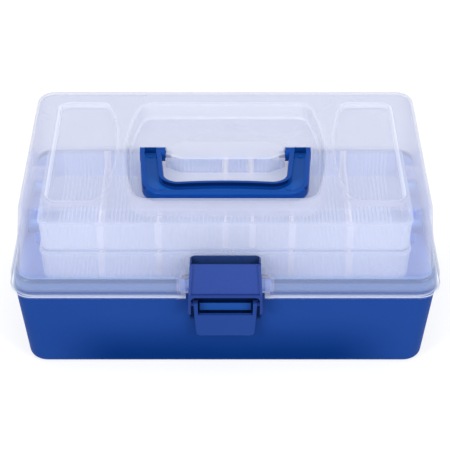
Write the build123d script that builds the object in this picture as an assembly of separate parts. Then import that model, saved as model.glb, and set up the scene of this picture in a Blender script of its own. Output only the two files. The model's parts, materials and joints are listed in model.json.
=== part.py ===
from build123d import *
import os

# Tool box with two trays that rise with the lid. Millimetres, X to the right, -Y to the front,
# Z up, origin at the middle of the underside.

# Base
BASE_WIDTH = 343.0
BASE_DEPTH = 198.0
BASE_HEIGHT = 75.0
BASE_TAPER = 7.0
BASE_WALL = 2.5
BASE_CORNER = 16.0
FOOT_ROUND = 6.0
LEDGE_REACH = 1.5
LEDGE_THICKNESS = 2.0
UPSTAND_SETBACK = 1.0
UPSTAND_HEIGHT = 13.0

# Lid
SKIRT_OVERHANG = 3.5
SEAT_GAP = 0.2
BEAD_HEIGHT = 2.6
BEAD_PROUD = 0.7
DRIP_HEIGHT = 2.0
DRIP_GAP = 0.4
SKIRT_HEIGHT = 17.0
SKIRT_STEP = 5.5
SKIRT_ROUND = 6.0
SKIRT_CORNER = 19.0
LID_HEIGHT = 77.0
LID_WALL = 2.2
LID_TAPER = 5.5
LID_BACK_TAPER = 1.0
LID_CORNER = 15.0
LID_TOP_ROUND = 6.0
RECESS_DEPTH = 15.0
RECESS_MARGIN = 19.5
RECESS_BULGE = 11.0
RECESS_CORNER = 12.0
RECESS_FLOOR_ROUND = 3.0
PANEL_DEPTH = 3.6
PANEL_FRONT_MARGIN = 16.5
PANEL_BACK_MARGIN = 24.0
PANEL_SIDE_MARGIN = 22.0
PANEL_WIDTH = 40.0
PANEL_TO_RECESS = 31.0
PANEL_BULGE = 11.0
PANEL_CORNER = 8.0
PANEL_FLOOR_ROUND = 0.5
LIP_ROUND = 2.8

# Handle and the bridge that carries it
HANDLE_DROP = 6.0
HANDLE_SIDE_GAP = 11.0
HANDLE_FRONT_GAP = 6.0
HANDLE_TAPER = 4.5
HANDLE_LEG = 17.5
HANDLE_HOOK = 4.0
HANDLE_GRIP = 17.0
HANDLE_BOW = 3.0
HANDLE_THICKNESS = 10.4
HANDLE_OUTER_ROUND = 20.0
HANDLE_INNER_ROUND = 12.0
HANDLE_EDGE_ROUND = 1.8
HANDLE_RIM = 4.0
HANDLE_END_WALL = 2.5
HANDLE_CHANNEL = 6.0
HANDLE_KNUCKLE_RADIUS = 5.8
HANDLE_MARK_RADIUS = 2.2
HANDLE_MARK_HEIGHT = 0.4
HANDLE_MARK_Y = -2.5
HANDLE_CORNER_MARK = 15.5
STUB_RADIUS = 3.0
STUB_LENGTH = 5.0
BRIDGE_END = 13.5
BRIDGE_DEPTH = 28.0
BRIDGE_END_DEPTH = 12.0
BRIDGE_BELOW_TOP = 1.0
BRIDGE_ROUND = 2.0

# Rear hinge
HINGE_SETBACK = 6.0
HINGE_RISE = 3.0
HINGE_SPACING = 190.0
KNUCKLE_RADIUS = 4.5
LID_KNUCKLE_LENGTH = 26.0
BASE_KNUCKLE_LENGTH = 10.0
HINGE_PIN_RADIUS = 2.0

# Trays and dividers
TRAY_DEPTH = 111.5
TRAY_SIDE_GAP = 17.5
TRAY_FRONT_GAP = 18.0
TRAY_TOP_CLEARANCE = 4.5
TRAY_TAPER = 1.2
TRAY_WALL = 1.8
TRAY_CORNER = 8.0
TRAY_ROUND = 3.0
TRAY_LIP = 0.8
TRAY_LIP_HEIGHT = 2.0
TRAY_GAP = 0.5
LOWER_TRAY_SINK = 3.0
DIVIDER_THICKNESS = 1.8
DIVIDER_DROP = 1.5
DIVIDER_FIT = 0.2
DIVIDER_FLANGE = 5.4
DIVIDER_FLANGE_THICKNESS = 1.2
DIVIDER_OUTER_X = 101.0
DIVIDER_INNER_X = 54.0
DIVIDER_EXTRA_X = 22.0
UPPER_DIVIDERS = [-DIVIDER_OUTER_X, -DIVIDER_INNER_X, 0.0]
UPPER_DIVIDERS += [DIVIDER_EXTRA_X, DIVIDER_INNER_X, DIVIDER_OUTER_X]
LOWER_DIVIDERS = [-DIVIDER_OUTER_X, -DIVIDER_INNER_X, DIVIDER_INNER_X, DIVIDER_OUTER_X]

# Tray linkage, in the side view
LID_PIN_BACKSET = 10.0
LID_PIN_HEIGHT = 10.5
UPPER_PIVOT_AHEAD = 62.0
UPPER_PIVOT_RISE = 1.0
LOWER_SHARE = 0.45
SHORT_ARM_AHEAD = 53.5
SHORT_ARM_DROP = 1.3
ARM_WIDTH = 12.0
ARM_THICKNESS = 3.0
ARM_EDGE = 0.6
ARM_GAP = 0.3
PIVOT_RADIUS = 3.0
PIVOT_CLEARANCE = 0.1
OPEN_PIVOT_CLEARANCE = 0.3
BOSS_RADIUS = 6.0
RIVET_HEAD_RADIUS = 5.0
RIVET_HEAD = 1.4
RIVET_BITE = 3.2
LID_BOSS_GAP = 1.2
LID_PIN_BITE = 4.5

# Latch
LATCH_PROUD = 6.5
LATCH_TOP_WIDTH = 56.0
LATCH_BOTTOM_WIDTH = 61.4
LATCH_RISE = 19.5
LATCH_FALL = 16.0
LATCH_ARM_FALL = 34.0
LATCH_ARM = 2.8
LATCH_ARM_DEPTH = 6.8
LATCH_DEPTH = 9.5
LATCH_WALL = 2.5
LATCH_THIN_WALL = 1.2
LATCH_INSET = 1.1
LATCH_FRONT_DROP = 3.2
LATCH_POCKET = 16.0
LATCH_CORNER = 4.0
LATCH_EDGE_ROUND = 1.2
LATCH_PIN_HEIGHT = 20.0
LATCH_PIN_SETBACK = 7.5
LATCH_PIN_RADIUS = 1.5
EAR_THICKNESS = 4.2
EAR_GAP = 1.2
EAR_RISE = 4.5
BAY_SIDE_GAP = 1.0
LEVER_TOP_WIDTH = 52.4
LEVER_BOTTOM_WIDTH = 47.2
LEVER_LENGTH = 36.4
LEVER_THICKNESS = 2.6
LEVER_LEAN = 4.0
LEVER_RAIL_DEPTH = 4.4
LEVER_WINDOW = 12.8
LEVER_CORNER = 4.0
LEVER_EDGE_ROUND = 0.8
LEVER_PIVOT_FALL = 25.0
LEVER_PIVOT_SETBACK = 4.0
LEVER_STUB_RADIUS = 1.6
KEEPER_WIDTH = 42.4
KEEPER_SIDE_GAP = 1.1
KEEPER_HEIGHT = 8.0
KEEPER_TOP_FALL = 1.7
KEEPER_REACH = 2.4
KEEPER_ROUND = 1.0

RUNNING_CLEARANCE = 0.08
SIDE_CLEARANCE = 0.4
OVERCUT = 5.0
ROOT = 1.0

# Levels and positions that follow from the sizes above
LEDGE_TOP = BASE_HEIGHT + LEDGE_THICKNESS
UPSTAND_TOP = LEDGE_TOP + UPSTAND_HEIGHT
LID_BOTTOM = LEDGE_TOP + SEAT_GAP
SKIRT_TOP = LID_BOTTOM + SKIRT_HEIGHT
LID_TOP = LID_BOTTOM + LID_HEIGHT
RECESS_FLOOR = LID_TOP - RECESS_DEPTH
LID_WIDTH = BASE_WIDTH + 2 * SKIRT_OVERHANG
LID_DEPTH = BASE_DEPTH + 2 * SKIRT_OVERHANG
SKIRT_WIDTH = LID_WIDTH - 2 * BEAD_PROUD
SKIRT_DEPTH = LID_DEPTH - 2 * BEAD_PROUD
WALL_WIDTH = LID_WIDTH - 2 * SKIRT_STEP
WALL_DEPTH = LID_DEPTH - 2 * SKIRT_STEP
LEDGE_WIDTH = BASE_WIDTH + 2 * LEDGE_REACH
LEDGE_DEPTH = BASE_DEPTH + 2 * LEDGE_REACH
UPSTAND_WIDTH = BASE_WIDTH - 2 * UPSTAND_SETBACK
UPSTAND_DEPTH = BASE_DEPTH - 2 * UPSTAND_SETBACK

TOP_WIDTH = WALL_WIDTH - 2 * LID_TAPER
TOP_FRONT = WALL_DEPTH / 2 - LID_TAPER
TOP_BACK = WALL_DEPTH / 2 - LID_BACK_TAPER
TOP_DEPTH = TOP_FRONT + TOP_BACK
TOP_SHIFT = (TOP_BACK - TOP_FRONT) / 2
PANEL_OUTER_X = TOP_WIDTH / 2 - PANEL_SIDE_MARGIN
PANEL_INNER_X = PANEL_OUTER_X - PANEL_WIDTH
PANEL_LENGTH = TOP_DEPTH - PANEL_FRONT_MARGIN - PANEL_BACK_MARGIN
PANEL_SHIFT = TOP_SHIFT + (PANEL_FRONT_MARGIN - PANEL_BACK_MARGIN) / 2
RECESS_LENGTH = 2 * (TOP_FRONT - RECESS_MARGIN)
RECESS_END_WIDTH = 2 * (PANEL_INNER_X - PANEL_TO_RECESS)
HANDLE_OUTER_WIDTH = RECESS_END_WIDTH + 2 * RECESS_BULGE - 2 * HANDLE_SIDE_GAP
HANDLE_FRONT_WIDTH = HANDLE_OUTER_WIDTH - 2 * HANDLE_TAPER
HANDLE_REACH = RECESS_LENGTH / 2 - HANDLE_FRONT_GAP
BRIDGE_WIDTH = HANDLE_OUTER_WIDTH - 2 * (HANDLE_LEG + HANDLE_HOOK)
BRIDGE_WAIST = BRIDGE_WIDTH - 2 * BRIDGE_END

HINGE_Y = LID_DEPTH / 2 + HINGE_SETBACK
HINGE_Z = LEDGE_TOP + HINGE_RISE

LOWER_TRAY_Z = LEDGE_TOP - LOWER_TRAY_SINK
TRAY_ROOM = RECESS_FLOOR - LID_WALL - TRAY_TOP_CLEARANCE - LOWER_TRAY_Z
TRAY_HEIGHT = (TRAY_ROOM - TRAY_GAP) / 2
UPPER_TRAY_Z = LOWER_TRAY_Z + TRAY_HEIGHT + TRAY_GAP
TRAY_LENGTH = UPSTAND_WIDTH - 2 * (BASE_WALL + TRAY_SIDE_GAP)
TRAY_FRONT = BASE_WALL + TRAY_FRONT_GAP - UPSTAND_DEPTH / 2
TRAY_BACK = TRAY_FRONT + TRAY_DEPTH
TRAY_CENTRE_Y = TRAY_FRONT + TRAY_DEPTH / 2

# The lid turns about the hinge and lifts the upper tray at the lid pin. Both arms stay parallel
# to the line from hinge to lid pin, so the trays stay level.
LID_PIN = Vector(0, TRAY_BACK - LID_PIN_BACKSET, UPPER_TRAY_Z + LID_PIN_HEIGHT)
CRANK = LID_PIN - Vector(0, HINGE_Y, HINGE_Z)
UPPER_PIVOT = LID_PIN + Vector(0, -UPPER_PIVOT_AHEAD, UPPER_PIVOT_RISE)
LONG_FOOT = UPPER_PIVOT - CRANK
LOWER_PIVOT = LONG_FOOT + CRANK * LOWER_SHARE
SHORT_OFFSET = Vector(0, -SHORT_ARM_AHEAD, -SHORT_ARM_DROP)
SHORT_TIP = LOWER_PIVOT + SHORT_OFFSET
SHORT_FOOT = LONG_FOOT + SHORT_OFFSET

# Stack in X from the tray end outwards
TRAY_BOSS_X = TRAY_LENGTH / 2 + TRAY_LIP + ARM_GAP
ARM_INNER_X = TRAY_BOSS_X + ARM_GAP
ARM_OUTER_X = ARM_INNER_X + ARM_THICKNESS
BASE_BOSS_X = ARM_OUTER_X + ARM_GAP
LID_BOSS_X = TRAY_BOSS_X + LID_BOSS_GAP

HANDLE_Z = LID_TOP - HANDLE_DROP
HANDLE_KNUCKLE_X = BRIDGE_WIDTH / 2 + SIDE_CLEARANCE

LATCH_FRONT = -LID_DEPTH / 2 - LATCH_PROUD
LATCH_PIN_Y = LATCH_FRONT + LATCH_PIN_SETBACK
LATCH_PIN_Z = LID_BOTTOM + LATCH_PIN_HEIGHT
LATCH_TOP = LATCH_PIN_Z + LATCH_RISE
LATCH_BOTTOM = LATCH_PIN_Z - LATCH_FALL
LATCH_ARM_BOTTOM = LATCH_PIN_Z - LATCH_ARM_FALL
EAR_X = LATCH_BOTTOM_WIDTH / 2 + EAR_GAP
BAY_HALF = EAR_X + EAR_THICKNESS
LEVER_PIVOT_Y = LATCH_FRONT + LEVER_PIVOT_SETBACK
LEVER_PIVOT_Z = LATCH_PIN_Z - LEVER_PIVOT_FALL


def outline(width, depth, radius, z, y=0.0):
    return Pos(0, y, z) * RectangleRounded(width, depth, radius)


def tapered(low, high):
    return loft([low.face(), high.face()], ruled=True)


def block(x0, x1, y0, y1, z0, z1):
    middle = Pos((x0 + x1) / 2, (y0 + y1) / 2, (z0 + z1) / 2)
    return middle * Box(x1 - x0, y1 - y0, z1 - z0)


def rod(x0, x1, y, z, radius):
    return Pos((x0 + x1) / 2, y, z) * Rot(0, 90, 0) * Cylinder(radius, abs(x1 - x0))


def both_sides(solid):
    return [solid, mirror(solid, about=Plane.YZ)]


def edges_at(solid, z):
    return solid.edges().filter_by_position(Axis.Z, z - 0.01, z + 0.01)


# Base

def base_outer():
    low = outline(BASE_WIDTH - 2 * BASE_TAPER, BASE_DEPTH - 2 * BASE_TAPER, BASE_CORNER, 0)
    high = outline(BASE_WIDTH, BASE_DEPTH, BASE_CORNER, BASE_HEIGHT)
    tub = tapered(low, high)
    return fillet(edges_at(tub, 0), FOOT_ROUND)


def base_hollow():
    shrink = 2 * (BASE_TAPER + BASE_WALL)
    corner = BASE_CORNER - BASE_WALL
    low = outline(BASE_WIDTH - shrink, BASE_DEPTH - shrink, corner, BASE_WALL)
    width = UPSTAND_WIDTH - 2 * BASE_WALL
    depth = UPSTAND_DEPTH - 2 * BASE_WALL
    high = outline(width, depth, corner, BASE_HEIGHT)
    hollow = tapered(low, high)
    hollow = fillet(edges_at(hollow, BASE_WALL), FOOT_ROUND - BASE_WALL)
    neck = extrude(outline(width, depth, corner, BASE_HEIGHT), UPSTAND_TOP - BASE_HEIGHT + OVERCUT)
    return hollow + neck


def base_knuckle(x0, x1):
    eye = rod(x0, x1, HINGE_Y, HINGE_Z, KNUCKLE_RADIUS)
    back = HINGE_Y + KNUCKLE_RADIUS
    web = block(x0, x1, HINGE_Y - KNUCKLE_RADIUS, back, HINGE_Z - 1.5 * KNUCKLE_RADIUS, HINGE_Z)
    root_y = BASE_DEPTH / 2 - BASE_WALL
    profile = Polyline(
        (root_y, LEDGE_TOP - SEAT_GAP),
        (back, LEDGE_TOP - SEAT_GAP),
        (back, BASE_HEIGHT - LEDGE_THICKNESS),
        (root_y, BASE_HEIGHT - (back - root_y)),
        close=True,
    )
    gusset = extrude(Plane.YZ.offset(x0) * make_face(profile), x1 - x0)
    return eye + web + gusset


def base_tub():
    tub = base_outer()
    tub += extrude(outline(LEDGE_WIDTH, LEDGE_DEPTH, SKIRT_CORNER, BASE_HEIGHT), LEDGE_THICKNESS)
    tub += extrude(
        outline(UPSTAND_WIDTH, UPSTAND_DEPTH, BASE_CORNER, BASE_HEIGHT), UPSTAND_TOP - BASE_HEIGHT
    )
    bay_front = -BASE_DEPTH / 2
    tub -= block(-BAY_HALF, BAY_HALF, bay_front - LEDGE_REACH - OVERCUT, bay_front,
                 BASE_HEIGHT, LEDGE_TOP)
    notch = BAY_HALF + BAY_SIDE_GAP
    tub -= block(-notch, notch, bay_front, BASE_WALL - UPSTAND_DEPTH / 2 + ROOT, LEDGE_TOP, UPSTAND_TOP)
    keeper_top = LEVER_PIVOT_Z - KEEPER_TOP_FALL
    keeper = block(-KEEPER_WIDTH / 2, KEEPER_WIDTH / 2, bay_front - KEEPER_REACH, bay_front + BASE_WALL,
                   keeper_top - KEEPER_HEIGHT, keeper_top)
    front_edges = keeper.faces().sort_by(Axis.Y)[0].edges()
    tub += fillet(front_edges, KEEPER_ROUND)
    for side in (-1, 1):
        middle = side * HINGE_SPACING / 2
        near = LID_KNUCKLE_LENGTH / 2 + SIDE_CLEARANCE
        tub += base_knuckle(middle + near, middle + near + BASE_KNUCKLE_LENGTH)
        tub += base_knuckle(middle - near - BASE_KNUCKLE_LENGTH, middle - near)
    tub -= base_hollow()
    wall_x = UPSTAND_WIDTH / 2 - BASE_WALL
    for foot in (LONG_FOOT, SHORT_FOOT):
        for boss in both_sides(rod(BASE_BOSS_X, wall_x + ROOT, foot.Y, foot.Z, BOSS_RADIUS)):
            tub += boss
        for hole in both_sides(rod(BASE_BOSS_X, BASE_BOSS_X + RIVET_BITE, foot.Y, foot.Z, PIVOT_RADIUS)):
            tub -= hole
    reach = HINGE_SPACING / 2 + LID_KNUCKLE_LENGTH / 2 + SIDE_CLEARANCE + BASE_KNUCKLE_LENGTH
    tub -= rod(-reach, reach, HINGE_Y, HINGE_Z, HINGE_PIN_RADIUS)
    return tub


# Lid

def bulged_outline(outer_x, inner_x, bulge, y0, y1, corner):
    middle = (y0 + y1) / 2
    edges = Line((outer_x, y0), (inner_x, y0))
    edges += ThreePointArc((inner_x, y0), (inner_x + bulge, middle), (inner_x, y1))
    edges += Line((inner_x, y1), (outer_x, y1))
    edges += Line((outer_x, y1), (outer_x, y0))
    face = make_face(edges)
    return fillet(face.vertices(), corner)


def recess_outline():
    half = RECESS_END_WIDTH / 2
    y = RECESS_LENGTH / 2
    edges = Line((-half, -y), (half, -y))
    edges += ThreePointArc((half, -y), (half + RECESS_BULGE, 0), (half, y))
    edges += Line((half, y), (-half, y))
    edges += ThreePointArc((-half, y), (-half - RECESS_BULGE, 0), (-half, -y))
    face = make_face(edges)
    return fillet(face.vertices(), RECESS_CORNER)


def panel_outline():
    return bulged_outline(-PANEL_OUTER_X, -PANEL_INNER_X, PANEL_BULGE,
                          PANEL_SHIFT - PANEL_LENGTH / 2, PANEL_SHIFT + PANEL_LENGTH / 2, PANEL_CORNER)


def bridge_outline():
    end = BRIDGE_WIDTH / 2
    waist = BRIDGE_WAIST / 2
    deep = BRIDGE_DEPTH / 2
    slim = BRIDGE_END_DEPTH / 2
    corners = [(end, slim), (waist, deep), (-waist, deep), (-end, slim)]
    corners += [(-end, -slim), (-waist, -deep), (waist, -deep), (end, -slim)]
    return make_face(Polyline(*corners, close=True))


def lid_outer():
    low = outline(WALL_WIDTH, WALL_DEPTH, LID_CORNER, SKIRT_TOP - LID_WALL)
    high = outline(TOP_WIDTH, TOP_DEPTH, LID_CORNER, LID_TOP, TOP_SHIFT)
    dome = tapered(low, high)
    dome = fillet(edges_at(dome, LID_TOP), LID_TOP_ROUND)
    skirt = extrude(outline(SKIRT_WIDTH, SKIRT_DEPTH, SKIRT_CORNER, LID_BOTTOM), SKIRT_HEIGHT)
    skirt = fillet(edges_at(skirt, SKIRT_TOP), SKIRT_ROUND)
    drip = outline(LID_WIDTH, LID_DEPTH, SKIRT_CORNER, LID_BOTTOM - DRIP_HEIGHT)
    return dome + skirt + extrude(drip, DRIP_HEIGHT + BEAD_HEIGHT)


def lid_hollow():
    shrink = 2 * LID_WALL
    corner = LID_CORNER - LID_WALL
    low = outline(WALL_WIDTH - shrink, WALL_DEPTH - shrink, corner, SKIRT_TOP - 2 * LID_WALL)
    high = outline(TOP_WIDTH - shrink, TOP_DEPTH - shrink, corner, LID_TOP - LID_WALL, TOP_SHIFT)
    dome = tapered(low, high)
    dome = fillet(edges_at(dome, LID_TOP - LID_WALL), LID_TOP_ROUND - LID_WALL)
    skirt = extrude(outline(SKIRT_WIDTH - shrink, SKIRT_DEPTH - shrink, SKIRT_CORNER - LID_WALL,
                            LID_BOTTOM), SKIRT_HEIGHT - LID_WALL)
    skirt = fillet(edges_at(skirt, SKIRT_TOP - LID_WALL), SKIRT_ROUND - LID_WALL)
    drip_bottom = LID_BOTTOM - DRIP_HEIGHT
    drip = extrude(outline(LEDGE_WIDTH + 2 * DRIP_GAP, LEDGE_DEPTH + 2 * DRIP_GAP, SKIRT_CORNER,
                           drip_bottom), DRIP_HEIGHT)
    back = block(-LID_WIDTH / 2, LID_WIDTH / 2, LID_DEPTH / 2 - SKIRT_CORNER, LID_DEPTH / 2,
                 drip_bottom, LID_BOTTOM)
    return dome + skirt + drip + back


def sunk(shape, depth, floor_round):
    pit = extrude(Pos(0, 0, LID_TOP - depth) * shape, depth + OVERCUT)
    return fillet(edges_at(pit, LID_TOP - depth), floor_round)


def sunk_backing(shape, depth):
    wide = offset(shape, LID_WALL)
    return extrude(Pos(0, 0, LID_TOP - depth - LID_WALL) * wide, depth + LID_WALL / 2)


def lid_knuckle(x):
    x0 = x - LID_KNUCKLE_LENGTH / 2
    x1 = x + LID_KNUCKLE_LENGTH / 2
    eye = rod(x0, x1, HINGE_Y, HINGE_Z, KNUCKLE_RADIUS)
    strap = block(x0, x1, SKIRT_DEPTH / 2 - ROOT, HINGE_Y, HINGE_Z, HINGE_Z + KNUCKLE_RADIUS)
    return eye + strap


def lid_shell():
    lid = lid_outer() - lid_hollow()
    panel = panel_outline()
    lid += sunk_backing(recess_outline(), RECESS_DEPTH)
    for backing in both_sides(sunk_backing(panel, PANEL_DEPTH)):
        lid += backing
    lid -= sunk(recess_outline(), RECESS_DEPTH, RECESS_FLOOR_ROUND)
    for pit in both_sides(sunk(panel, PANEL_DEPTH, PANEL_FLOOR_ROUND)):
        lid -= pit
    reach_x = PANEL_OUTER_X + ROOT
    reach_y = PANEL_LENGTH / 2 + abs(PANEL_SHIFT) + ROOT
    top_edges = edges_at(lid, LID_TOP)
    lips = top_edges.filter_by(lambda e: abs(e.center().X) < reach_x and abs(e.center().Y) < reach_y)
    lid = fillet(lips, LIP_ROUND)

    bridge_top = LID_TOP - BRIDGE_BELOW_TOP
    loaf = extrude(Pos(0, 0, RECESS_FLOOR - LID_WALL / 2) * bridge_outline(),
                   bridge_top - RECESS_FLOOR + LID_WALL / 2)
    lid += fillet(edges_at(loaf, bridge_top), BRIDGE_ROUND)
    core = offset(bridge_outline(), -LID_WALL, kind=Kind.INTERSECTION)
    core_bottom = RECESS_FLOOR - LID_WALL - OVERCUT
    lid -= extrude(Pos(0, 0, core_bottom) * core, bridge_top - LID_WALL - core_bottom)
    stub_reach = HANDLE_KNUCKLE_X + ROOT
    lid -= rod(-stub_reach, stub_reach, 0, HANDLE_Z, STUB_RADIUS + RUNNING_CLEARANCE)

    wall_y = -WALL_DEPTH / 2
    lid -= block(-EAR_X, EAR_X, -LID_DEPTH / 2 - OVERCUT, wall_y - SEAT_GAP,
                 LID_BOTTOM - OVERCUT, SKIRT_TOP)
    lid += block(-EAR_X - ROOT, EAR_X + ROOT, wall_y - SEAT_GAP, wall_y + LID_WALL, LID_BOTTOM,
                 SKIRT_TOP - LID_WALL / 2)
    ear_top = LATCH_PIN_Z + EAR_RISE
    ear = block(EAR_X, BAY_HALF, -SKIRT_DEPTH / 2 - ROOT, wall_y + LID_WALL / 2, LID_BOTTOM, ear_top)
    ear_edge = ear.edges().filter_by(Axis.X).sort_by(Axis.Z)[-2:].sort_by(Axis.Y)[0]
    ear = fillet(ear_edge, EAR_RISE)
    for side_ear in both_sides(ear):
        lid += side_ear
    lid -= rod(-BAY_HALF - ROOT, BAY_HALF + ROOT, LATCH_PIN_Y, LATCH_PIN_Z, LATCH_PIN_RADIUS)

    for side in (-1, 1):
        lid += lid_knuckle(side * HINGE_SPACING / 2)
    hinge_reach = HINGE_SPACING / 2 + LID_KNUCKLE_LENGTH
    lid -= rod(-hinge_reach, hinge_reach, HINGE_Y, HINGE_Z, HINGE_PIN_RADIUS + RUNNING_CLEARANCE)

    rise = (LID_PIN.Z - SKIRT_TOP) / (LID_TOP - SKIRT_TOP)
    wall_x = WALL_WIDTH / 2 - LID_TAPER * rise - LID_WALL
    for boss in both_sides(rod(LID_BOSS_X, wall_x + ROOT, LID_PIN.Y, LID_PIN.Z, BOSS_RADIUS)):
        lid += boss
    for hole in both_sides(rod(LID_BOSS_X, LID_BOSS_X + LID_PIN_BITE, LID_PIN.Y, LID_PIN.Z, PIVOT_RADIUS)):
        lid -= hole
    return lid


# Handle, drawn folded to the front about its pivot at y = 0

def handle_outline():
    back = HANDLE_OUTER_WIDTH / 2
    front = HANDLE_FRONT_WIDTH / 2
    grip = HANDLE_REACH - HANDLE_GRIP
    inner_back = back - HANDLE_LEG
    inner_front = front - HANDLE_LEG
    edges = Line((-back, 0), (-front, -HANDLE_REACH))
    edges += Line((-front, -HANDLE_REACH), (front, -HANDLE_REACH))
    edges += Line((front, -HANDLE_REACH), (back, 0))
    edges += Line((back, 0), (inner_back, 0))
    edges += Line((inner_back, 0), (inner_front, -grip))
    edges += ThreePointArc((inner_front, -grip), (0, HANDLE_BOW - grip), (-inner_front, -grip))
    edges += Line((-inner_front, -grip), (-inner_back, 0))
    edges += Line((-inner_back, 0), (-back, 0))
    face = make_face(edges)
    corners = face.vertices().filter_by(lambda v: v.Y < -HANDLE_LEG)
    outer = corners.filter_by(lambda v: v.Y < -grip - HANDLE_GRIP / 2)
    face = fillet(outer, HANDLE_OUTER_ROUND)
    inner = face.vertices().filter_by(lambda v: abs(v.Y + grip) < 0.01 and abs(v.X) < inner_back)
    return fillet(inner, HANDLE_INNER_ROUND)


def handle():
    shape = handle_outline()
    bottom = HANDLE_Z - HANDLE_THICKNESS / 2
    top = HANDLE_Z + HANDLE_THICKNESS / 2
    bar = extrude(Pos(0, 0, bottom) * shape, HANDLE_THICKNESS)
    bar = fillet(edges_at(bar, bottom) + edges_at(bar, top), HANDLE_EDGE_ROUND)
    channel = offset(shape, -HANDLE_RIM)
    bar -= extrude(Pos(0, 0, top - HANDLE_CHANNEL) * channel, HANDLE_CHANNEL + OVERCUT)
    outer_x = HANDLE_OUTER_WIDTH / 2
    for knuckle in both_sides(rod(HANDLE_KNUCKLE_X, outer_x, 0, HANDLE_Z, HANDLE_KNUCKLE_RADIUS)):
        bar += knuckle
    channel_floor = top - HANDLE_CHANNEL
    slot = block(outer_x - HANDLE_LEG + HANDLE_RIM, outer_x - HANDLE_RIM, -HANDLE_LEG / 2,
                 HANDLE_KNUCKLE_RADIUS - HANDLE_END_WALL, channel_floor, top + OVERCUT)
    for side_slot in both_sides(slot):
        bar -= side_slot
    corner_x = HANDLE_FRONT_WIDTH / 2 - HANDLE_CORNER_MARK
    marks = [(outer_x - HANDLE_LEG / 2, HANDLE_MARK_Y), (corner_x, HANDLE_CORNER_MARK - HANDLE_REACH)]
    for x, y in marks:
        mark = Pos(x, y, channel_floor) * Cylinder(HANDLE_MARK_RADIUS, 2 * HANDLE_MARK_HEIGHT)
        for side_mark in both_sides(mark):
            bar += side_mark
    stub_tip = HANDLE_KNUCKLE_X - STUB_LENGTH
    for stub in both_sides(rod(stub_tip, HANDLE_KNUCKLE_X + ROOT, 0, HANDLE_Z, STUB_RADIUS)):
        bar += stub
    return bar


# Trays

def tray(bottom, pivots, free_pivots):
    low = outline(TRAY_LENGTH - 2 * TRAY_TAPER, TRAY_DEPTH - 2 * TRAY_TAPER, TRAY_CORNER, bottom,
                  TRAY_CENTRE_Y)
    high = outline(TRAY_LENGTH, TRAY_DEPTH, TRAY_CORNER, bottom + TRAY_HEIGHT, TRAY_CENTRE_Y)
    body = tapered(low, high)
    body = fillet(edges_at(body, bottom), TRAY_ROUND)
    rim = outline(TRAY_LENGTH + 2 * TRAY_LIP, TRAY_DEPTH + 2 * TRAY_LIP, TRAY_CORNER + TRAY_LIP,
                  bottom + TRAY_HEIGHT - TRAY_LIP_HEIGHT, TRAY_CENTRE_Y)
    body += extrude(rim, TRAY_LIP_HEIGHT)
    for pivot in pivots + free_pivots:
        share = (pivot.Z - bottom) / TRAY_HEIGHT
        wall_x = TRAY_LENGTH / 2 - TRAY_TAPER * (1 - share)
        for boss in both_sides(rod(wall_x - ROOT, TRAY_BOSS_X, pivot.Y, pivot.Z, BOSS_RADIUS)):
            body += boss
    shrink = 2 * TRAY_WALL
    corner = TRAY_CORNER - TRAY_WALL
    floor = outline(TRAY_LENGTH - 2 * TRAY_TAPER - shrink, TRAY_DEPTH - 2 * TRAY_TAPER - shrink, corner,
                    bottom + TRAY_WALL, TRAY_CENTRE_Y)
    mouth = outline(TRAY_LENGTH - shrink, TRAY_DEPTH - shrink, corner, bottom + TRAY_HEIGHT, TRAY_CENTRE_Y)
    body -= tapered(floor, mouth)
    for pivot in pivots:
        for hole in both_sides(rod(TRAY_BOSS_X - RIVET_BITE, TRAY_BOSS_X, pivot.Y, pivot.Z, PIVOT_RADIUS)):
            body -= hole
    for pivot in free_pivots:
        radius = PIVOT_RADIUS + OPEN_PIVOT_CLEARANCE
        for hole in both_sides(rod(TRAY_BOSS_X - RIVET_BITE, TRAY_BOSS_X, pivot.Y, pivot.Z, radius)):
            body -= hole
    return body


def divider_outline(foot, head, inset):
    low = TRAY_DEPTH / 2 - TRAY_TAPER - TRAY_WALL - DIVIDER_FIT - inset
    high = low + TRAY_TAPER * (head - foot) / TRAY_HEIGHT
    corners = [(TRAY_CENTRE_Y - low, foot), (TRAY_CENTRE_Y + low, foot)]
    corners += [(TRAY_CENTRE_Y + high, head), (TRAY_CENTRE_Y - high, head)]
    return make_face(Polyline(*corners, close=True))


def divider(x, bottom):
    foot = bottom + TRAY_WALL + DIVIDER_FIT
    head = bottom + TRAY_HEIGHT - DIVIDER_DROP
    whole = divider_outline(foot, head, 0)
    flanges = whole - divider_outline(foot, head, DIVIDER_FLANGE_THICKNESS)
    plate = extrude(Plane.YZ.offset(x - DIVIDER_THICKNESS / 2) * whole, DIVIDER_THICKNESS)
    return plate + extrude(Plane.YZ.offset(x - DIVIDER_FLANGE / 2) * flanges, DIVIDER_FLANGE)


# Linkage

def arm(foot, tip, holes, clearances):
    length = (tip - foot).length
    angle = Vector(0, 1, 0).get_signed_angle(tip - foot, Vector(1, 0, 0))
    place = Pos(ARM_INNER_X, foot.Y, foot.Z) * Rot(angle, 0, 0)
    bar = Plane.YZ * SlotCenterToCenter(length, ARM_WIDTH)
    strip = extrude(Pos(0, length / 2, 0) * bar, ARM_THICKNESS)
    strip = place * chamfer(strip.faces().filter_by(Axis.X).edges(), ARM_EDGE)
    for hole, clearance in zip(holes, clearances):
        strip -= rod(ARM_INNER_X, ARM_OUTER_X, hole.Y, hole.Z, PIVOT_RADIUS + clearance)
    return strip


def base_rivet(foot):
    head_x = ARM_INNER_X - ARM_GAP
    shank = rod(head_x, BASE_BOSS_X + RIVET_BITE, foot.Y, foot.Z, PIVOT_RADIUS)
    return shank + rod(head_x - RIVET_HEAD, head_x, foot.Y, foot.Z, RIVET_HEAD_RADIUS)


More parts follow.
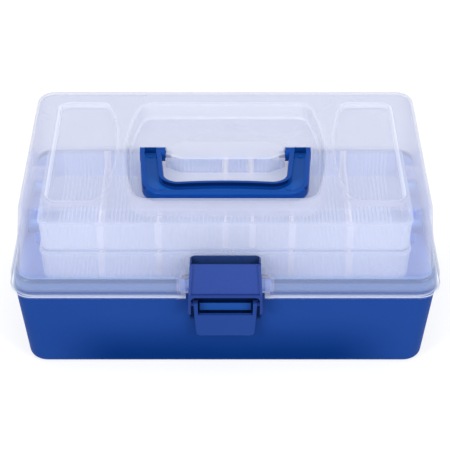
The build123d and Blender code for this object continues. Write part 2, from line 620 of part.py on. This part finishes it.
def tray_rivet(pivot):
    head_x = ARM_OUTER_X + ARM_GAP
    shank = rod(TRAY_BOSS_X - RIVET_BITE, head_x, pivot.Y, pivot.Z, PIVOT_RADIUS)
    return shank + rod(head_x, head_x + RIVET_HEAD, pivot.Y, pivot.Z, RIVET_HEAD_RADIUS)


def lid_pin():
    inner_x = TRAY_BOSS_X - RIVET_BITE + ARM_GAP
    return rod(inner_x, LID_BOSS_X + LID_PIN_BITE, LID_PIN.Y, LID_PIN.Z, PIVOT_RADIUS)


def hinge_pin(x):
    reach = LID_KNUCKLE_LENGTH / 2 + SIDE_CLEARANCE + BASE_KNUCKLE_LENGTH
    return rod(x - reach, x + reach, HINGE_Y, HINGE_Z, HINGE_PIN_RADIUS)


# Latch

def latch_outline():
    half_top = LATCH_TOP_WIDTH / 2
    half_bottom = LATCH_BOTTOM_WIDTH / 2
    corners = [(-half_bottom, LATCH_ARM_BOTTOM), (half_bottom, LATCH_ARM_BOTTOM)]
    corners += [(half_top, LATCH_TOP), (-half_top, LATCH_TOP)]
    face = make_face(Polyline(*corners, close=True))
    return fillet(face.vertices(), LATCH_CORNER)


def latch_arch():
    half = LATCH_BOTTOM_WIDTH / 2 - LATCH_ARM
    height = LATCH_BOTTOM - LATCH_ARM_BOTTOM + OVERCUT
    face = Pos(0, LATCH_BOTTOM - height / 2) * Rectangle(2 * half, height)
    return fillet(face.vertices().sort_by(Axis.Y)[-2:], LATCH_CORNER)


def latch_inset():
    half_top = LATCH_TOP_WIDTH / 2 - LATCH_ARM
    half_bottom = LATCH_BOTTOM_WIDTH / 2 - LATCH_ARM
    corners = [(-half_bottom, LATCH_BOTTOM + LATCH_ARM), (half_bottom, LATCH_BOTTOM + LATCH_ARM)]
    corners += [(half_top, LATCH_TOP + OVERCUT), (-half_top, LATCH_TOP + OVERCUT)]
    return make_face(Polyline(*corners, close=True))


def from_front(shape, front, depth):
    return extrude(Plane.XZ.offset(-front) * shape, -depth)


def latch_plate():
    back = LATCH_FRONT + LATCH_DEPTH
    behind = LATCH_FRONT + LATCH_WALL
    plate = from_front(latch_outline(), LATCH_FRONT, LATCH_DEPTH)
    plate = fillet(plate.faces().sort_by(Axis.Y)[0].edges(), LATCH_EDGE_ROUND)
    plate -= from_front(latch_arch(), LATCH_FRONT - OVERCUT, LATCH_DEPTH + 2 * OVERCUT)
    plate -= from_front(latch_inset(), LATCH_FRONT - OVERCUT, OVERCUT + LATCH_INSET)
    inner_half = LATCH_BOTTOM_WIDTH / 2 - LATCH_ARM
    knuckle_bottom = LATCH_PIN_Z - LATCH_PIN_RADIUS - LATCH_WALL
    plate -= block(-inner_half, inner_half, behind, back + OVERCUT, LATCH_BOTTOM - OVERCUT, knuckle_bottom)
    pocket_half = LATCH_TOP_WIDTH / 2 - LATCH_THIN_WALL
    plate -= block(-pocket_half, pocket_half, behind, back - LATCH_THIN_WALL,
                   LATCH_TOP - LATCH_POCKET, LATCH_TOP + OVERCUT)
    reach = LATCH_BOTTOM_WIDTH / 2 + OVERCUT
    plate -= block(-reach, reach, LATCH_FRONT - OVERCUT, behind, LATCH_TOP - LATCH_FRONT_DROP,
                   LATCH_TOP + OVERCUT)
    plate -= block(-reach, reach, LATCH_FRONT + LATCH_ARM_DEPTH, back + OVERCUT,
                   LATCH_ARM_BOTTOM - OVERCUT, LATCH_BOTTOM)
    plate -= rod(-reach, reach, LATCH_PIN_Y, LATCH_PIN_Z, LATCH_PIN_RADIUS + RUNNING_CLEARANCE)
    plate -= rod(-reach, reach, LEVER_PIVOT_Y, LEVER_PIVOT_Z, LEVER_STUB_RADIUS + RUNNING_CLEARANCE)
    return plate


def latch_pin():
    reach = BAY_HALF - ROOT
    return rod(-reach, reach, LATCH_PIN_Y, LATCH_PIN_Z, LATCH_PIN_RADIUS)


def latch_lever():
    half_top = LEVER_TOP_WIDTH / 2
    half_bottom = LEVER_BOTTOM_WIDTH / 2
    corners = [(-half_bottom, -LEVER_LENGTH), (half_bottom, -LEVER_LENGTH), (half_top, 0), (-half_top, 0)]
    shape = make_face(Polyline(*corners, close=True))
    shape = fillet(shape.vertices().sort_by(Axis.Y)[:2], LEVER_CORNER)
    tab = extrude(shape, -LEVER_RAIL_DEPTH)
    tab = fillet(tab.faces().sort_by(Axis.Z)[-1].edges(), LEVER_EDGE_ROUND)
    half_window = KEEPER_WIDTH / 2 + KEEPER_SIDE_GAP
    tab -= block(-half_window, half_window, -LEVER_LENGTH - OVERCUT, OVERCUT,
                 -LEVER_RAIL_DEPTH - OVERCUT, -LEVER_THICKNESS)
    tab -= block(-half_window, half_window, -LEVER_WINDOW, OVERCUT, -LEVER_RAIL_DEPTH - OVERCUT, OVERCUT)
    lean = Vector(0, -LEVER_LENGTH, -LEVER_LEAN).normalized()
    top = Vector(0, LEVER_PIVOT_Y - LEVER_RAIL_DEPTH / 2, LEVER_PIVOT_Z + LEVER_STUB_RADIUS)
    tab = Plane(origin=top, x_dir=(1, 0, 0), z_dir=lean) * tab
    stub_tip = LATCH_BOTTOM_WIDTH / 2 - LATCH_ARM / 2
    for stub in both_sides(rod(half_top - ROOT, stub_tip, LEVER_PIVOT_Y, LEVER_PIVOT_Z, LEVER_STUB_RADIUS)):
        tab += stub
    return tab


def write(name, solid):
    export_step(solid, os.path.join("parts", name + ".step"))


def write_sides(stem, solid):
    right, left = both_sides(solid)
    write(stem + "_right", right)
    write(stem + "_left", left)


def group(solids):
    return Compound(children=[side for solid in solids for side in both_sides(solid)])


os.makedirs("parts", exist_ok=True)

write("base_tub", base_tub())
write("lid_shell", lid_shell())
write("handle", handle())
write("upper_tray", tray(UPPER_TRAY_Z, [UPPER_PIVOT], [LID_PIN]))
write("lower_tray", tray(LOWER_TRAY_Z, [LOWER_PIVOT, SHORT_TIP], []))

for number, x in enumerate(UPPER_DIVIDERS, start=1):
    write("upper_divider_%d" % number, divider(x, UPPER_TRAY_Z))
for number, x in enumerate(LOWER_DIVIDERS, start=1):
    write("lower_divider_%d" % number, divider(x, LOWER_TRAY_Z))

long_clearances = [PIVOT_CLEARANCE, PIVOT_CLEARANCE, PIVOT_CLEARANCE]
write_sides("long_arm", arm(LONG_FOOT, UPPER_PIVOT, [LONG_FOOT, LOWER_PIVOT, UPPER_PIVOT], long_clearances))
short_clearances = [PIVOT_CLEARANCE, OPEN_PIVOT_CLEARANCE]
write_sides("short_arm", arm(SHORT_FOOT, SHORT_TIP, [SHORT_FOOT, SHORT_TIP], short_clearances))
write("base_rivets", group([base_rivet(LONG_FOOT), base_rivet(SHORT_FOOT)]))
write("lower_tray_rivets", group([tray_rivet(LOWER_PIVOT), tray_rivet(SHORT_TIP)]))
write("upper_tray_rivets", group([tray_rivet(UPPER_PIVOT)]))
write("lid_tray_pins", group([lid_pin()]))

hinge_pins = both_sides(hinge_pin(HINGE_SPACING / 2))
write("hinge_pin_right", hinge_pins[0])
write("hinge_pin_left", hinge_pins[1])

write("latch_plate", latch_plate())
write("latch_lever", latch_lever())
write("latch_pin", latch_pin())
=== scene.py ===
import json
import math

import bmesh
import bpy
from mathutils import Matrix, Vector


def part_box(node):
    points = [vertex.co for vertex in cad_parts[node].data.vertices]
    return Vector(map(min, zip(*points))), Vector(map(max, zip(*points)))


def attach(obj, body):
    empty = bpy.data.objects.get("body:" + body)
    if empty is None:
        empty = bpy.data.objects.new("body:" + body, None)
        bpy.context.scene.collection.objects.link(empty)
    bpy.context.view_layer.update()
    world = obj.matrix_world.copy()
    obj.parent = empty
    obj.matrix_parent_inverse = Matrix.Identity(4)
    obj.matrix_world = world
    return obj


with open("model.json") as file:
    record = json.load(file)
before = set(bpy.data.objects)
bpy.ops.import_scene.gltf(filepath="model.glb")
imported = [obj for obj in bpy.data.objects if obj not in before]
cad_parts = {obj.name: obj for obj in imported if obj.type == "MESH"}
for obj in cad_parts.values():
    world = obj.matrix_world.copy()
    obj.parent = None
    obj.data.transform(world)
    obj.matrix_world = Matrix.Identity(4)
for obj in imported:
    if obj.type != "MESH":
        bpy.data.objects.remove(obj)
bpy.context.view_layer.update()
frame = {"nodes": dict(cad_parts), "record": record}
nodes = frame["nodes"]
MM = 0.001


# Materials. Places are in millimetres along the axes of the part.

PLASTIC_IOR = 1.49


class Shader:
    """A Principled material whose parts are wired by short calls."""

    def __init__(self, name, roughness):
        self.material = bpy.data.materials.new(name)
        self.material.use_nodes = True
        self.tree = self.material.node_tree
        self.surface = self.tree.nodes["Principled BSDF"]
        self.surface.inputs["Roughness"].default_value = roughness
        self.surface.inputs["IOR"].default_value = PLASTIC_IOR
        places = self.tree.nodes.new("ShaderNodeTexCoord")
        self.coordinates = places.outputs["Object"]
        self.normal = places.outputs["Normal"]

    def node(self, kind, **values):
        made = self.tree.nodes.new(kind)
        for key, value in values.items():
            setattr(made, key, value)
        return made

    def link(self, source, target):
        self.tree.links.new(source, target)

    def math(self, operation, first, second=None):
        made = self.node("ShaderNodeMath", operation=operation)
        self.link(first, made.inputs[0])
        if second is not None:
            self.link(second, made.inputs[1])
        return made.outputs["Value"]

    def part_of(self, vector, axis):
        split = self.node("ShaderNodeSeparateXYZ")
        self.link(vector, split.inputs["Vector"])
        return split.outputs[axis]

    def noise(self, scale, detail=3.0, stretch=(1, 1, 1)):
        mapping = self.node("ShaderNodeMapping")
        mapping.inputs["Scale"].default_value = stretch
        texture = self.node("ShaderNodeTexNoise")
        texture.inputs["Scale"].default_value = scale
        texture.inputs["Detail"].default_value = detail
        self.link(self.coordinates, mapping.inputs["Vector"])
        self.link(mapping.outputs["Vector"], texture.inputs["Vector"])
        return texture.outputs["Fac"]

    def spread(self, value, low, high, start=0.3, end=0.7):
        """Low to high while a value goes from start to end, which suits noise as it stands."""
        mapped = self.node("ShaderNodeMapRange")
        mapped.inputs["From Min"].default_value = start
        mapped.inputs["From Max"].default_value = end
        mapped.inputs["To Min"].default_value = low
        mapped.inputs["To Max"].default_value = high
        self.link(value, mapped.inputs["Value"])
        return mapped.outputs["Result"]

    # Masks, 0 to 1

    def along(self, axis, start, end, mirrored=False):
        """0 to 1 across a stretch of one axis; mirrored counts from the middle."""
        value = self.part_of(self.coordinates, axis)
        if mirrored:
            value = self.math("ABSOLUTE", value)
        mapped = self.node("ShaderNodeMapRange", interpolation_type="SMOOTHSTEP")
        mapped.inputs["From Min"].default_value = start * MM
        mapped.inputs["From Max"].default_value = end * MM
        self.link(value, mapped.inputs["Value"])
        return mapped.outputs["Result"]

    def within(self, axis, full, gone):
        """1 near the middle of an axis, out to full, and 0 from gone on."""
        return self.along(axis, gone, full, mirrored=True)

    def band(self, axis, start, full, fading, gone):
        """1 on a stretch of an axis, with its own soft edge at each end."""
        return self.every(self.along(axis, start, full), self.along(axis, gone, fading))

    def every(self, first, *others):
        for mask in others:
            first = self.math("MULTIPLY", first, mask)
        return first

    def either(self, first, *others):
        for mask in others:
            first = self.math("MAXIMUM", first, mask)
        return first

    def fade(self, mask, off, on):
        """A number that is off where the mask is 0 and on where it is 1."""
        return self.spread(mask, off, on, 0.0, 1.0)

    def facing_up(self):
        """Square of the upright part of the surface's own direction: 0 on walls, 1 on level faces."""
        upright = self.part_of(self.normal, "Z")
        return self.math("MULTIPLY", upright, upright)

    def rounded(self):
        """1 on edges rounded between a wall and a level face, 0 on both of those."""
        up = self.facing_up()
        return self.spread(self.every(up, self.fade(up, 1.0, 0.0)), 0.0, 1.0, 0.05, 0.22)

    def facing_front(self):
        """1 on faces turned to the front of the box, 0 on those turned sideways or to the back."""
        return self.spread(self.part_of(self.normal, "Y"), 1.0, 0.0, -0.5, -0.15)

    def facing_in(self):
        """1 on walls that face the upright middle axis, 0 on walls that face away from it."""
        place = self.node("ShaderNodeVectorMath", operation="MULTIPLY")
        place.inputs[1].default_value = (1, 1, 0)
        self.link(self.coordinates, place.inputs[0])
        product = self.node("ShaderNodeVectorMath", operation="DOT_PRODUCT")
        self.link(place.outputs["Vector"], product.inputs[0])
        self.link(self.normal, product.inputs[1])
        return self.spread(product.outputs["Value"], 1.0, 0.0, -0.02, -0.01)

    # Colours and finish

    def ramp(self, value, first, second):
        ramp = self.node("ShaderNodeValToRGB")
        ramp.color_ramp.elements[0].position = 0.3
        ramp.color_ramp.elements[0].color = (*first, 1)
        ramp.color_ramp.elements[1].position = 0.7
        ramp.color_ramp.elements[1].color = (*second, 1)
        self.link(value, ramp.inputs["Fac"])
        return ramp.outputs["Color"]

    def blend(self, factor, first, second):
        mix = self.node("ShaderNodeMix", data_type="RGBA")
        self.link(factor, mix.inputs[0])
        self.link(first, mix.inputs[6])
        self.link(second, mix.inputs[7])
        return mix.outputs[2]

    def colour(self, value):
        self.link(value, self.surface.inputs["Base Color"])

    def roughen(self, value, smooth, rough):
        self.link(self.spread(value, smooth, rough), self.surface.inputs["Roughness"])

    def bump(self, height, strength, distance):
        node = self.node("ShaderNodeBump")
        node.inputs["Strength"].default_value = strength
        node.inputs["Distance"].default_value = distance * MM
        self.link(height, node.inputs["Height"])
        self.link(node.outputs["Normal"], self.surface.inputs["Normal"])

    def satin(self, roughness, gloss):
        """Slightly uneven satin skin of moulded plastic."""
        self.surface.inputs["Specular IOR Level"].default_value = gloss
        self.roughen(self.noise(120.0), roughness - 0.05, roughness + 0.07)
        self.bump(self.noise(900.0, 2.0), 0.08, 0.2)


def base_plastic(name):
    """Blue with a painted sheen on the upper part and sides that fades to navy low down in the middle, a
    painted glow inside and on the upstand, a painted shade line on the upstand's top, a painted shadow behind
    the latch and a painted highlight on the keeper's front.
    """
    shader = Shader(name, 0.4)
    mottle = shader.noise(9.0)
    painted_highlight_tone = shader.ramp(mottle, (0.0088, 0.0415, 0.203), (0.0103, 0.0445, 0.213))
    sheenless_deep = shader.ramp(mottle, (0.0001, 0.0185, 0.119), (0.0002, 0.0205, 0.126))
    painted_light_pale = shader.ramp(mottle, (0.022, 0.066, 0.25), (0.025, 0.072, 0.27))
    painted_glow_inner = shader.ramp(mottle, (0.20, 0.39, 0.84), (0.22, 0.41, 0.87))
    painted_shade_crown = shader.ramp(mottle, (0.0010, 0.016, 0.115), (0.0014, 0.018, 0.125))
    shadow = shader.ramp(mottle, (0.0004, 0.008, 0.045), (0.0006, 0.010, 0.052))
    painted_light_keeper = shader.ramp(mottle, (0.010, 0.054, 0.24), (0.012, 0.058, 0.255))

    # Painted sheen: the upper part and sides get a lighter blue, fading to the sheenless navy low down in the
    # middle.
    sheenless_low_middle = shader.every(shader.along("Z", 58, 4), shader.within("X", 85, 158))
    colour = shader.blend(sheenless_low_middle, painted_highlight_tone, sheenless_deep)
    # Painted light: the upstand is paler, as if lit by light coming through the lid.
    upstand = shader.along("Z", 76.5, 77.5)
    colour = shader.blend(upstand, colour, painted_light_pale)

    # Painted light: inner walls, inner floor and boss tops get a bright blue glow, as if lit by light coming
    # through the lid.
    level = shader.spread(shader.facing_up(), 0.0, 1.0, 0.4, 0.6)
    floor = shader.every(level, shader.band("Z", 1.0, 1.6, 60, 62))
    bosses = shader.every(shader.within("X", 167.5, 167.7), shader.within("Y", 66, 68),
                          shader.along("Z", 71.5, 72))
    colour = shader.blend(shader.either(shader.facing_in(), floor, bosses), colour, painted_glow_inner)
    # Painted shade: a dark navy line on top of the upstand, for the shadow under the lid's step.
    rim = shader.along("Z", 87.2, 87.8)
    colour = shader.blend(rim, colour, painted_shade_crown)

    latch_width = shader.within("X", 28, 30)
    under_rim = shader.along("Z", 77.8, 77.4)
    above = shader.along("Z", 70, 70.3)
    beside = shader.every(shader.along("Z", 48, 54), shader.along("Y", -100.2, -99.6))
    behind_latch = shader.every(shader.either(above, beside), shader.along("Y", -96, -96.5),
                                latch_width, under_rim)
    colour = shader.blend(behind_latch, colour, shadow)
    # Painted highlight: the keeper bar's front face is painted lighter, as if more lit.
    keeper_bar = shader.every(shader.along("Y", -100, -100.4), shader.along("Z", 70.2, 69.8), latch_width)
    shader.colour(shader.blend(keeper_bar, colour, painted_light_keeper))
    shader.satin(0.4, 0.015)
    return shader.material


def latch_plastic(name):
    """Slightly violet blue, with a painted shadow inside the pocket at the top of the plate and painted shade
    on the lower hem.
    """
    shader = Shader(name, 0.3)
    mottle = shader.noise(14.0)
    skin = shader.ramp(mottle, (0.016, 0.043, 0.21), (0.019, 0.047, 0.225))
    shadow = shader.ramp(mottle, (0.012, 0.030, 0.115), (0.014, 0.034, 0.125))
    painted_shade_hem = shader.ramp(mottle, (0.010, 0.030, 0.165), (0.012, 0.033, 0.175))
    pocket = shader.every(shader.along("Y", -106.8, -106.2), shader.along("Z", 99.5, 100.5))
    # Painted shade: the plate's lower hem is darker.
    colour = shader.blend(shader.along("Z", 84.6, 84), skin, painted_shade_hem)
    shader.colour(shader.blend(pocket, colour, shadow))
    shader.satin(0.3, 0.12)
    return shader.material


def handle_plastic(name):
    """Glossy blue, with painted highlights on its channel floor and rims and a painted shadow on the grip's
    rear channel wall.
    """
    shader = Shader(name, 0.2)
    mottle = shader.noise(14.0)
    skin = shader.ramp(mottle, (0.002, 0.041, 0.225), (0.004, 0.045, 0.24))
    # Painted highlight: this lighter blue goes on the channel floor and the rounded rims.
    light = shader.ramp(mottle, (0.008, 0.080, 0.345), (0.011, 0.087, 0.365))
    shadow = shader.ramp(mottle, (0.001, 0.012, 0.075), (0.002, 0.014, 0.085))
    channel_floor = shader.every(shader.along("Z", 149.5, 148.5), shader.facing_up())
    rim_highlights = shader.fade(shader.rounded(), 0.0, 0.1)
    colour = shader.blend(shader.either(rim_highlights, channel_floor), skin, light)
    rear_wall = shader.every(shader.band("Y", -58, -57, -46, -44), shader.facing_front(),
                             shader.along("Z", 149, 151))
    shader.colour(shader.blend(rear_wall, colour, shadow))
    shader.satin(0.2, 0.06)
    return shader.material


def trim_plastic(name, first, second, roughness, gloss):
    shader = Shader(name, roughness)
    shader.colour(shader.ramp(shader.noise(14.0), first, second))
    shader.satin(roughness, gloss)
    return shader.material


def frosted_plastic(name, first, second, face_on, edge_on, roughness):
    """Milky see-through plastic whose haze thickens where a wall is seen at a slant."""
    shader = Shader(name, roughness)
    slant = shader.node("ShaderNodeLayerWeight")
    slant.inputs["Blend"].default_value = 0.35
    body = shader.ramp(shader.noise(7.0), first, second)
    haze = shader.fade(slant.outputs["Facing"], face_on, edge_on)
    shader.roughen(shader.noise(14.0), roughness - 0.03, roughness + 0.04)
    shader.bump(shader.noise(22.0, 1.0), 0.02, 0.5)
    return shader, body, haze


def finish_frosted(shader, body, haze, shade_share):
    """Sets colour and see-through; light passing the plastic loses only a share of what the eye does."""
    shade = shader.node("ShaderNodeLightPath").outputs["Is Shadow Ray"]
    passed = shader.fade(shade, 1.0, shade_share)
    shader.link(shader.math("MULTIPLY", haze, passed), shader.surface.inputs["Alpha"])
    shader.colour(body)
    return shader.material


def lid_milk_and_highlight(shader, up):
    """Where the lid is milky and painted with highlights: lips of panels and recess, crest of the bridge,
    line along the foot.
    """
    bridge = shader.every(shader.within("X", 60, 62), shader.within("Y", 16, 18))
    deck = shader.every(shader.within("X", 146, 150), shader.within("Y", 78, 82), shader.along("Z", 128, 132))
    panels = shader.along("X", 99, 101, mirrored=True)
    lips = shader.every(deck, shader.fade(bridge, 1.0, 0.0), shader.spread(up, 1.0, 0.0, 0.90, 0.99),
                        shader.fade(panels, 0.6, 1.0), shader.fade(shader.facing_front(), 1.0, 0.4))
    crest = shader.every(bridge, shader.fade(shader.rounded(), 0.0, 0.6))
    foot = shader.band("Z", 76.2, 76.6, 77.1, 77.7)
    return shader.either(lips, crest, foot)


def lid_plastic(name):
    """Frosted lid with milky lips and foot; a painted blue glow from the base on the skirt, painted light
    about the bridge loop, a painted shade band just above the foot and painted highlights on the milky parts.
    """
    shader, body, haze = frosted_plastic(name, (0.445, 0.470, 0.600), (0.470, 0.495, 0.625), 0.20, 0.60, 0.22)
    mottle = shader.noise(11.0)
    # Painted light: the skirt is tinted bluer, as if by light from the blue base scattered in it.
    painted_base_glow = shader.ramp(mottle, (0.385, 0.470, 0.660), (0.405, 0.490, 0.680))
    # Painted light: the lid about the bridge loop is paler, lifting the shade under the handle.
    painted_light_pale = shader.ramp(mottle, (0.585, 0.60, 0.685), (0.615, 0.63, 0.705))
    ear_tone = shader.ramp(mottle, (0.37, 0.41, 0.61), (0.39, 0.43, 0.63))
    # Painted shade: a dark band just above the lid's foot, for the shaded ledge behind it.
    painted_shade_dim = shader.ramp(mottle, (0.15, 0.20, 0.38), (0.17, 0.22, 0.41))
    # Painted highlight: the milky lips, bridge crest and foot line are painted whiter.
    painted_highlight_tone = shader.ramp(mottle, (0.62, 0.65, 0.75), (0.65, 0.68, 0.78))

    up = shader.facing_up()
    skirt = shader.along("Z", 96, 92.5)
    drip = shader.along("Z", 76.8, 76.3)
    loop = shader.every(shader.within("X", 54, 64), shader.band("Y", -54, -44, 12, 16),
                        shader.fade(shader.along("Z", 140, 150), 1.0, 0.5))
    ears = shader.every(shader.within("X", 39, 39.5), shader.along("Y", -93, -94), skirt)
    groove = shader.band("Z", 78.3, 78.9, 81.6, 82.4)
    milk_and_highlight = lid_milk_and_highlight(shader, up)

    for mask, tone in ((skirt, painted_base_glow), (loop, painted_light_pale), (ears, ear_tone), (groove, painted_shade_dim), (milk_and_highlight, painted_highlight_tone)):
        body = shader.blend(mask, body, tone)
    haze = shader.math("ADD", haze, shader.spread(up, 0.0, 0.08, 0.5, 1.0))
    haze = shader.every(haze, shader.fade(skirt, 1.0, 0.85), shader.fade(drip, 1.0, 0.35))
    haze = shader.math("ADD", haze, shader.fade(loop, 0.0, 0.05))
    haze = shader.math("ADD", haze, shader.fade(ears, 0.0, 0.15))
    haze = shader.either(haze, shader.fade(milk_and_highlight, 0.0, 0.65))
    return finish_frosted(shader, body, haze, 0.05)


def tray_plastic(name):
    """Frosted trays with milkier rims that carry a painted highlight."""
    shader, body, haze = frosted_plastic(name, (0.50, 0.56, 0.70), (0.54, 0.60, 0.74), 0.28, 0.66, 0.3)
    # Painted highlight: the rounded rims are painted whiter, while their haze is also thicker.
    rim = shader.rounded()
    painted_highlight_tone = shader.ramp(shader.noise(11.0), (0.68, 0.70, 0.80), (0.72, 0.74, 0.84))
    haze = shader.either(haze, shader.fade(rim, 0.0, 0.5))
    return finish_frosted(shader, shader.blend(rim, body, painted_highlight_tone), haze, 0.1)


def thick_plastic(name, first, second, haze):
    """The same plastic where it is thick enough to hide most of what lies behind it."""
    shader, body, slanted = frosted_plastic(name, first, second, haze, haze + 0.15, 0.3)
    return finish_frosted(shader, body, slanted, 0.1)


def drawn_steel(name):
    shader = Shader(name, 0.3)
    shader.surface.inputs["Metallic"].default_value = 1.0
    grain = shader.noise(500.0, 2.0, (0.05, 1, 1))
    shader.colour(shader.ramp(grain, (0.22, 0.24, 0.33), (0.31, 0.33, 0.44)))
    shader.roughen(grain, 0.25, 0.4)
    return shader.material


base_blue = base_plastic("base_blue")
latch_blue = latch_plastic("latch_blue")
lever_blue = trim_plastic("lever_blue", (0.010, 0.038, 0.19), (0.012, 0.042, 0.20), 0.35, 0.05)
handle_blue = handle_plastic("handle_blue")
arm_blue = trim_plastic("arm_blue", (0.030, 0.120, 0.50), (0.035, 0.130, 0.53), 0.35, 0.1)
lid_clear = lid_plastic("lid_clear")
tray_clear = tray_plastic("tray_clear")
divider_clear = thick_plastic("divider_clear", (0.76, 0.74, 0.81), (0.80, 0.78, 0.85), 0.55)
rib_clear = thick_plastic("rib_clear", (0.72, 0.76, 0.86), (0.76, 0.80, 0.90), 0.24)
steel = drawn_steel("pin_steel")

UPPER_DIVIDERS = ["upper_divider_%d" % i for i in range(1, 7)]
LOWER_DIVIDERS = ["lower_divider_%d" % i for i in range(1, 5)]
BY_SLOT = {"blue_plastic": arm_blue, "clear_lid": lid_clear, "clear_tray": tray_clear, "steel": steel}
BY_NODE = {"base_tub": base_blue, "handle": handle_blue, "latch_plate": latch_blue, "latch_lever": lever_blue}
BY_NODE.update({divider: divider_clear for divider in UPPER_DIVIDERS + LOWER_DIVIDERS})
for part in frame["record"]["subparts"]:
    mesh_slots = nodes[part["node"]].data.materials
    mesh_slots.clear()
    mesh_slots.append(BY_NODE.get(part["node"], BY_SLOT[part["material_slot"]]))


# Fine ribs inside the trays, on the floor and on the rear wall

RIB_PITCH = 3.3 * MM
RIB_WIDTH = 1.3 * MM
RIB_HEIGHT = 0.7 * MM
RIB_END_ROOM = 14 * MM
TRAY_WALL = 1.8 * MM
TRAY_TAPER = 1.2 * MM
TRAY_LIP = 0.8 * MM
DIVIDER_ROOM = 2.9 * MM


def add_bar(bm, x, section):
    """A straight rib of one width, whose section is four (y, z) points."""
    rings = []
    for side in (-0.5, 0.5):
        rings.append([bm.verts.new((x + side * RIB_WIDTH, y, z)) for y, z in section])
    near, far = rings
    bm.faces.new(near)
    bm.faces.new(reversed(far))
    for i in range(4):
        j = (i + 1) % 4
        bm.faces.new((near[j], near[i], far[i], far[j]))


def tray_ribs(name, tray, dividers):
    low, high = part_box(tray)
    floor = low[2] + TRAY_WALL
    rim = high[2] - TRAY_WALL
    rise = (rim - floor) / (high[2] - low[2])
    front = low[1] + TRAY_LIP + TRAY_TAPER + TRAY_WALL
    back = high[1] - TRAY_LIP - TRAY_TAPER - TRAY_WALL
    lean = TRAY_TAPER * rise
    on_floor = [(front, floor), (back, floor), (back, floor + RIB_HEIGHT), (front, floor + RIB_HEIGHT)]
    on_wall = [(back, floor), (back + lean, rim), (back + lean - RIB_HEIGHT, rim), (back - RIB_HEIGHT, floor)]
    places = [sum(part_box(d)[k][0] for k in (0, 1)) / 2 for d in dividers]
    half = high[0] - RIB_END_ROOM
    count = int(2 * half / RIB_PITCH)
    bm = bmesh.new()
    for i in range(count + 1):
        x = -half + i * 2 * half / count
        if min(abs(x - p) for p in places) < DIVIDER_ROOM + RIB_WIDTH / 2:
            continue
        add_bar(bm, x, on_floor)
        add_bar(bm, x, on_wall)
    mesh = bpy.data.meshes.new(name)
    bmesh.ops.recalc_face_normals(bm, faces=bm.faces)
    bm.to_mesh(mesh)
    bm.free()
    mesh.materials.append(rib_clear)
    ribs = bpy.data.objects.new(name, mesh)
    bpy.context.scene.collection.objects.link(ribs)
    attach(ribs, tray)


tray_ribs("upper_tray_ribs", "upper_tray", UPPER_DIVIDERS)
tray_ribs("lower_tray_ribs", "lower_tray", LOWER_DIVIDERS)


# Floor, light and camera. Places are in metres.

FLOOR_SIZE = 12
FLOOR_GLOW = 0.62
WORLD_STRENGTH = 0.9
KEY_PLACE = (1.3, -1.3, 1.1)
KEY_SIZE = (0.8, 0.8)
KEY_AIM = (0, 0, 0.08)
KEY_POWER = 22
VIEW_ELEVATION = math.radians(35.282)
VIEW_DISTANCE = 1.3478
VIEW_TARGET = (-0.00026, 0.00042, 0.07559)
VIEW_FOCAL = 125.28
SENSOR_WIDTH = 36.0


def add_floor():
    shader = Shader("floor_paper", 0.8)
    shader.colour(shader.ramp(shader.noise(3.0), (0.34, 0.34, 0.342), (0.36, 0.36, 0.36)))
    shader.surface.inputs["Emission Color"].default_value = (1, 1, 1, 1)
    shader.surface.inputs["Emission Strength"].default_value = FLOOR_GLOW
    bpy.ops.mesh.primitive_plane_add(size=FLOOR_SIZE, location=(0, 0, 0))
    floor = bpy.context.object
    floor.name = "floor"
    floor.data.materials.append(shader.material)


def add_light(name, location, aim, size, power):
    data = bpy.data.lights.new(name, "AREA")
    data.shape = "RECTANGLE"
    data.size, data.size_y = size
    data.energy = power
    light = bpy.data.objects.new(name, data)
    bpy.context.scene.collection.objects.link(light)
    light.location = location
    light.rotation_euler = (Vector(aim) - Vector(location)).to_track_quat("-Z", "Y").to_euler()


def add_camera():
    data = bpy.data.cameras.new("camera")
    data.sensor_width = SENSOR_WIDTH
    data.lens = VIEW_FOCAL
    data.clip_end = 50.0
    camera = bpy.data.objects.new("camera", data)
    bpy.context.scene.collection.objects.link(camera)
    away = Vector((0, -math.cos(VIEW_ELEVATION), math.sin(VIEW_ELEVATION)))
    camera.location = Vector(VIEW_TARGET) + VIEW_DISTANCE * away
    camera.rotation_euler = (math.pi / 2 - VIEW_ELEVATION, 0, 0)
    bpy.context.scene.camera = camera


def set_world():
    world = bpy.data.worlds.new("studio")
    world.use_nodes = True
    background = world.node_tree.nodes["Background"]
    background.inputs["Color"].default_value = (0.98, 0.985, 1.0, 1)
    background.inputs["Strength"].default_value = WORLD_STRENGTH
    bpy.context.scene.world = world


add_floor()
set_world()
for name, side in (("key_left", -1), ("key_right", 1)):
    add_light(name, (side * KEY_PLACE[0], *KEY_PLACE[1:]), KEY_AIM, KEY_SIZE, KEY_POWER)
add_light("overhead", (0, 0.2, 1.9), (0, 0.1, 0.1), (1.6, 1.2), 6)
add_camera()

scene = bpy.context.scene
scene.view_settings.view_transform = "Standard"
scene.cycles.transparent_max_bounces = 48
